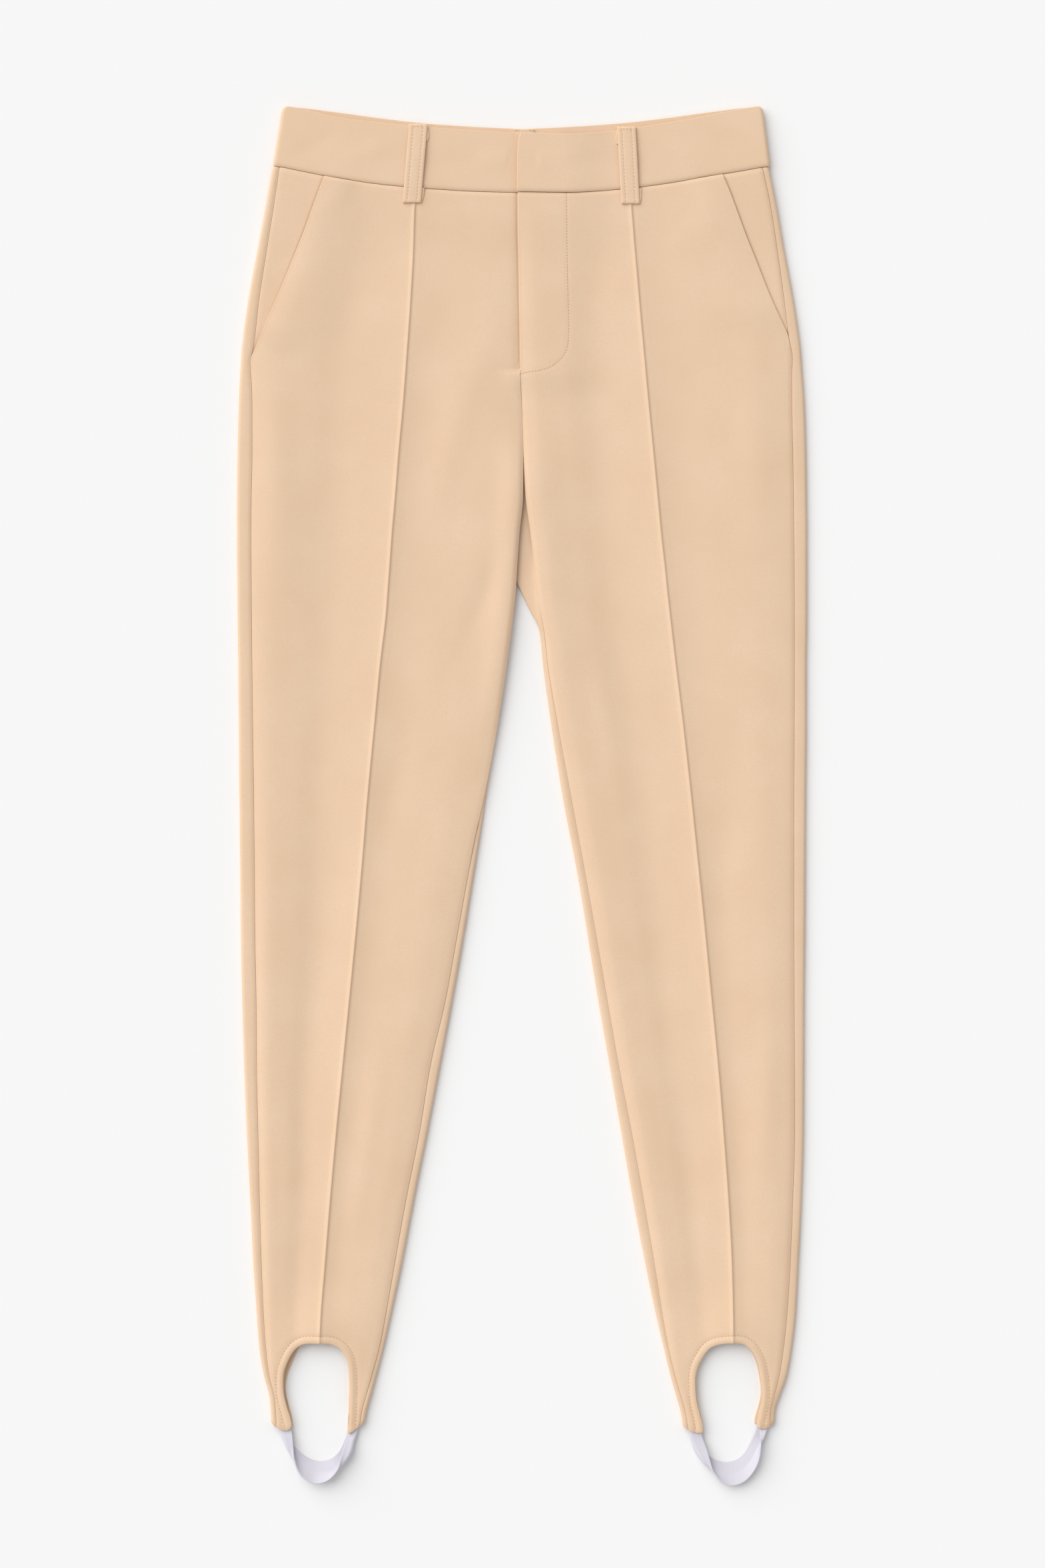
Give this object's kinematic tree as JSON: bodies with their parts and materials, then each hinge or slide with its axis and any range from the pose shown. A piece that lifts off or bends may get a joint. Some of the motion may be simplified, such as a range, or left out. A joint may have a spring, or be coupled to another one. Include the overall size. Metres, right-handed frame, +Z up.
{
  "type": "stirrup trousers",
  "caption": "Slim flat-front trousers with slant pockets, pintucked fronts and elastic stirrups, laid flat front side up.",
  "frame": {"origin": "middle of the underside of the part's box, on the surface that the trousers lie on", "axes": "+X to the wearer's left, +Y from the feet to the waist, +Z up from the surface, on the front's side"},
  "size_m": [0.44, 1.0628, 0.0101],
  "materials": {
    "suiting": "matt bi-stretch suiting, beige, close twill face",
    "elastic": "flat woven elastic tape, cool white",
    "tag_tape": "plain woven tape in the colour of the cloth"
  },
  "bodies": {
    "root": {"right_front": "suiting", "left_front": "suiting", "right_back": "suiting", "left_back": "suiting", "right_pocket_piece": "suiting", "left_pocket_piece": "suiting", "right_waistband": "suiting", "left_waistband": "suiting", "right_front_loop": "suiting", "left_front_loop": "suiting", "right_back_loop": "suiting", "left_back_loop": "suiting", "centre_back_loop": "suiting", "fly_shield": "suiting", "waist_tag": "tag_tape", "right_stirrup": "elastic", "left_stirrup": "elastic"}
  },
  "joints": []
}
